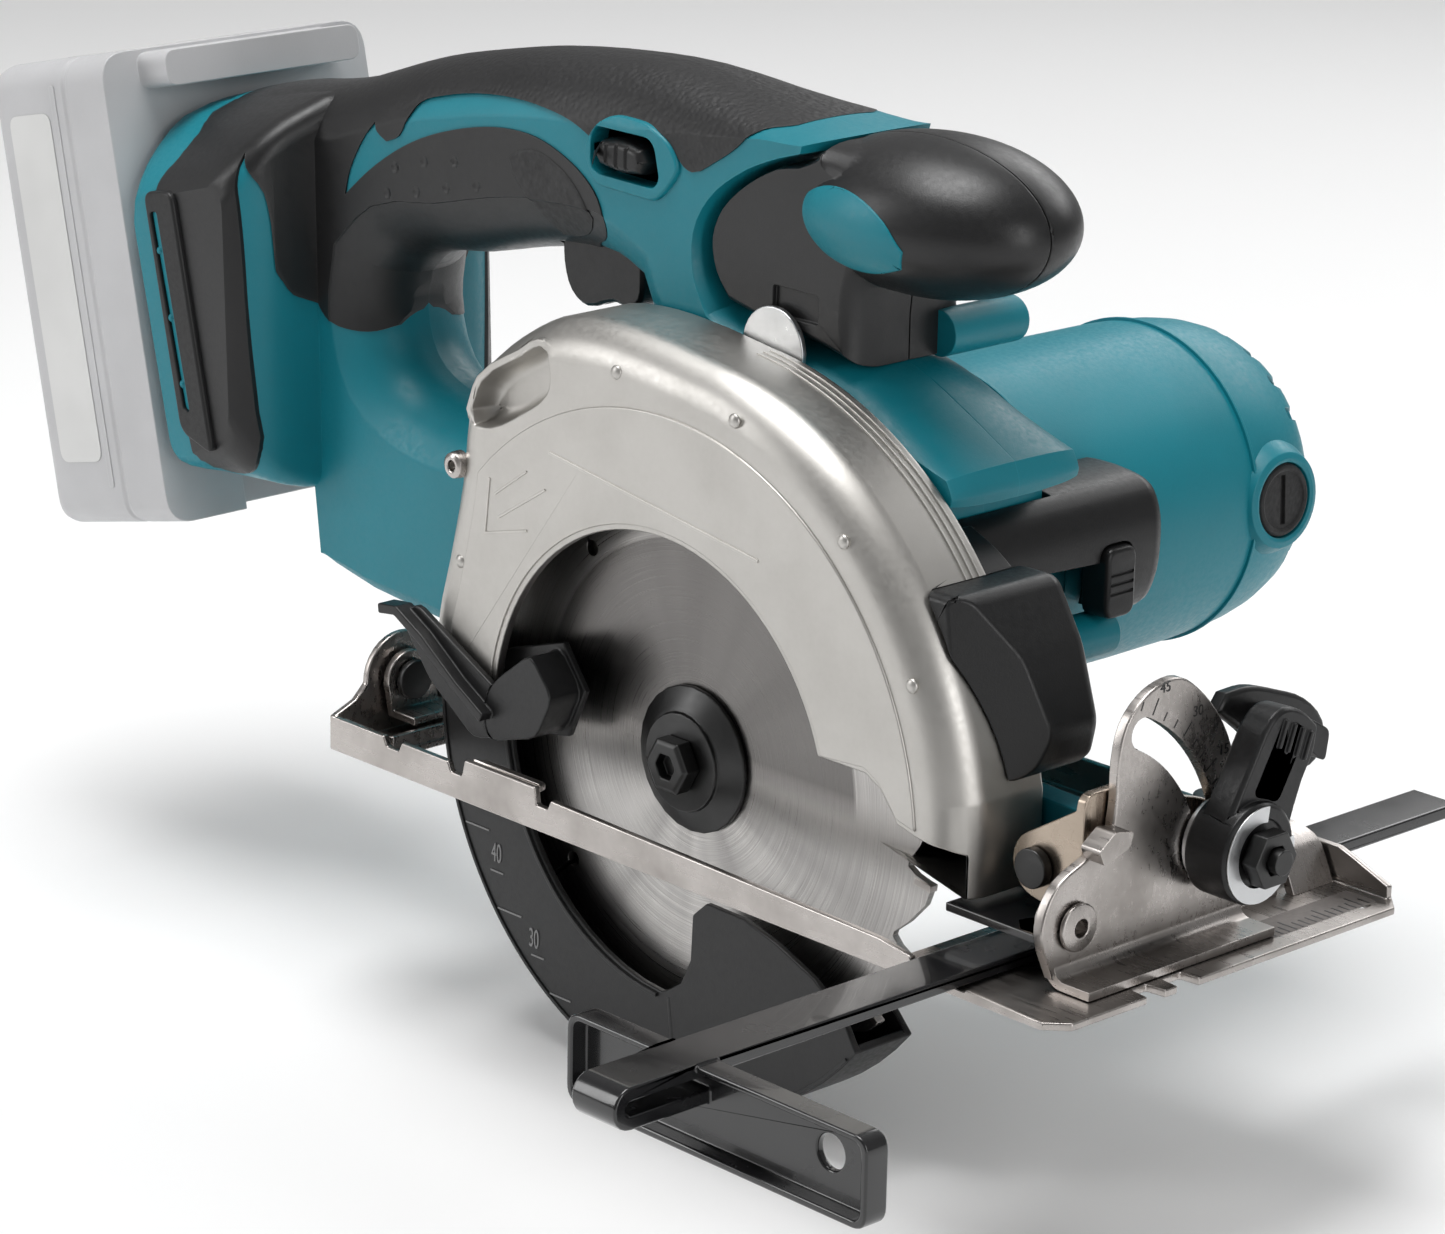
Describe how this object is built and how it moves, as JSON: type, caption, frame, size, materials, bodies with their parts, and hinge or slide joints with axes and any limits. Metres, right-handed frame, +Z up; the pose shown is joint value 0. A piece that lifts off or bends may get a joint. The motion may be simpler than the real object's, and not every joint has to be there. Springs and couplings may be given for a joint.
{
  "type": "cordless_circular_saw",
  "caption": "Compact cordless circular saw with tilting stamped base, swinging lower guard, D handle, front knob, slide-on battery and rip fence.",
  "frame": {"origin": "on the sole (underside of the base), level with the blade's centre and in the middle of the wide land on the motor side", "axes": "+X forward along the cut, +Y from the blade towards the motor, +Z up"},
  "size_m": [0.3741, 0.26, 0.2051],
  "materials": {
    "sawplate_steel": "brushed, turned finish",
    "bright_steel": "bright plated",
    "cast_aluminium": "satin casting",
    "nickel": "nickel plated",
    "dark_steel": "black oxide",
    "copper": "machined copper",
    "teal_plastic": "satin",
    "teal_metal": "satin",
    "black_plastic": "fine texture",
    "black_rubber": "soft grip texture",
    "black_steel": "gloss black",
    "grey_plastic": "satin",
    "clear_plastic": "clear"
  },
  "bodies": {
    "base": {"base_plate": "bright_steel", "bevel_quadrant": "bright_steel", "front_bevel_rivet": "bright_steel", "rear_bevel_pin": "dark_steel"},
    "clamp_screw": {"fence_clamp_screw": "dark_steel"},
    "fence": {"rip_fence": "black_steel"},
    "tilt_carrier": {"front_tilt_bracket": "nickel", "front_hinge_plate": "black_steel", "front_hinge_pin": "dark_steel", "bevel_lock_bolt": "bright_steel", "bevel_lock_washer": "bright_steel", "bevel_lock_nut": "bright_steel", "depth_guide": "bright_steel"},
    "bevel_lock": {"bevel_lever": "black_plastic"},
    "saw": {"upper_guard": "cast_aluminium", "gear_housing": "teal_metal", "gear_plate": "cast_aluminium", "spindle_bearing": "bright_steel", "intermediate_shaft": "bright_steel", "front_motor_bearing": "bright_steel", "rear_motor_bearing": "bright_steel", "field_can": "dark_steel", "housing_right": "teal_plastic", "housing_left": "teal_plastic", "motor_housing": "teal_plastic", "front_brush_cap": "black_plastic", "rear_brush_cap": "black_plastic", "front_carbon_brush": "dark_steel", "rear_carbon_brush": "dark_steel", "front_grip": "black_rubber", "shaft_lock_hood": "black_plastic", "nose_cover": "black_plastic", "led_lamp": "clear_plastic", "right_rear_bumper": "black_rubber", "left_rear_bumper": "black_rubber", "terminal_block": "black_plastic", "switch_unit": "black_plastic", "guard_washer": "bright_steel", "depth_lock_bolt": "bright_steel"},
    "blade_unit": {"blade": "sawplate_steel", "outer_flange": "dark_steel", "blade_bolt": "dark_steel", "inner_flange": "bright_steel", "spindle": "bright_steel", "spindle_gear": "bright_steel"},
    "idler": {"intermediate_gear": "bright_steel"},
    "armature": {"armature_shaft": "bright_steel", "cooling_fan": "black_plastic", "armature_core": "dark_steel", "commutator": "copper"},
    "swing_guard": {"lower_guard": "black_plastic"},
    "trigger_unit": {"trigger": "black_plastic"},
    "lock_off": {"lock_off_lever": "black_plastic"},
    "shaft_lock": {"shaft_lock_button": "black_plastic"},
    "battery": {"battery_pack": "grey_plastic"},
    "battery_latch": {"battery_button": "dark_steel"},
    "depth_lock": {"depth_lever": "black_plastic"}
  },
  "joints": [
    {"name": "bevel_tilt", "type": "hinge", "parent": "base", "child": "tilt_carrier", "pos_m": [0.1, -0.06, 0.013], "axis": [1, 0, 0], "range_deg": [0, 50]},
    {"name": "depth_swing", "type": "hinge", "parent": "tilt_carrier", "child": "saw", "pos_m": [0.094, -0.041, 0.02], "axis": [0, 1, 0], "range_deg": [0, 30]},
    {"name": "blade_spin", "type": "hinge", "parent": "saw", "child": "blade_unit", "pos_m": [0, -0.056, 0.017], "axis": [0, -1, 0], "continuous": true},
    {"name": "idler_spin", "type": "hinge", "parent": "saw", "child": "idler", "pos_m": [0.00824, -0.036, 0.03412], "axis": [0, -1, 0], "continuous": true},
    {"name": "armature_spin", "type": "hinge", "parent": "saw", "child": "armature", "pos_m": [0.006, 0.024, 0.055], "axis": [0, -1, 0], "continuous": true},
    {"name": "lower_guard_swing", "type": "hinge", "parent": "saw", "child": "swing_guard", "pos_m": [0, -0.056, 0.017], "axis": [0, 1, 0], "range_deg": [0, 110], "stiffness_Nm_per_rad": 0.05, "springref_deg": -34.38},
    {"name": "trigger_press", "type": "slide", "parent": "saw", "child": "trigger_unit", "axis": [0, 0, 1], "range_m": [0, 0.005], "stiffness_N_per_m": 300},
    {"name": "lock_off_press", "type": "slide", "parent": "saw", "child": "lock_off", "axis": [0, 1, 0], "range_m": [0, 0.003], "stiffness_N_per_m": 200},
    {"name": "shaft_lock_press", "type": "slide", "parent": "saw", "child": "shaft_lock", "axis": [-1, 0, 0], "range_m": [0, 0.003], "stiffness_N_per_m": 200},
    {"name": "battery_slide", "type": "slide", "parent": "saw", "child": "battery", "axis": [-0.2233, 0, 0.9748], "range_m": [0, 0.08]},
    {"name": "battery_latch_press", "type": "slide", "parent": "battery", "child": "battery_latch", "axis": [0.9748, 0, 0.2233], "range_m": [0, 0.003], "stiffness_N_per_m": 300},
    {"name": "depth_lever_turn", "type": "hinge", "parent": "saw", "child": "depth_lock", "pos_m": [-0.04571, -0.001, 0.02901], "axis": [0, 1, 0], "range_deg": [0, 45]},
    {"name": "bevel_lever_turn", "type": "hinge", "parent": "tilt_carrier", "child": "bevel_lock", "pos_m": [0.115, -0.0227, 0.0219], "axis": [1, 0, 0], "range_deg": [0, 30]},
    {"name": "clamp_screw_turn", "type": "hinge", "parent": "base", "child": "clamp_screw", "pos_m": [0.092, -0.003, 0.017], "axis": [0, 0, 1], "range_deg": [-90, 90]},
    {"name": "fence_slide", "type": "slide", "parent": "base", "child": "fence", "axis": [0, 1, 0], "range_m": [-0.045, 0.045]}
  ],
  "couplings": [
    {"joint": "idler_spin", "follows": "blade_spin", "ratio": -1.7143},
    {"joint": "armature_spin", "follows": "blade_spin", "ratio": 5.4857}
  ]
}
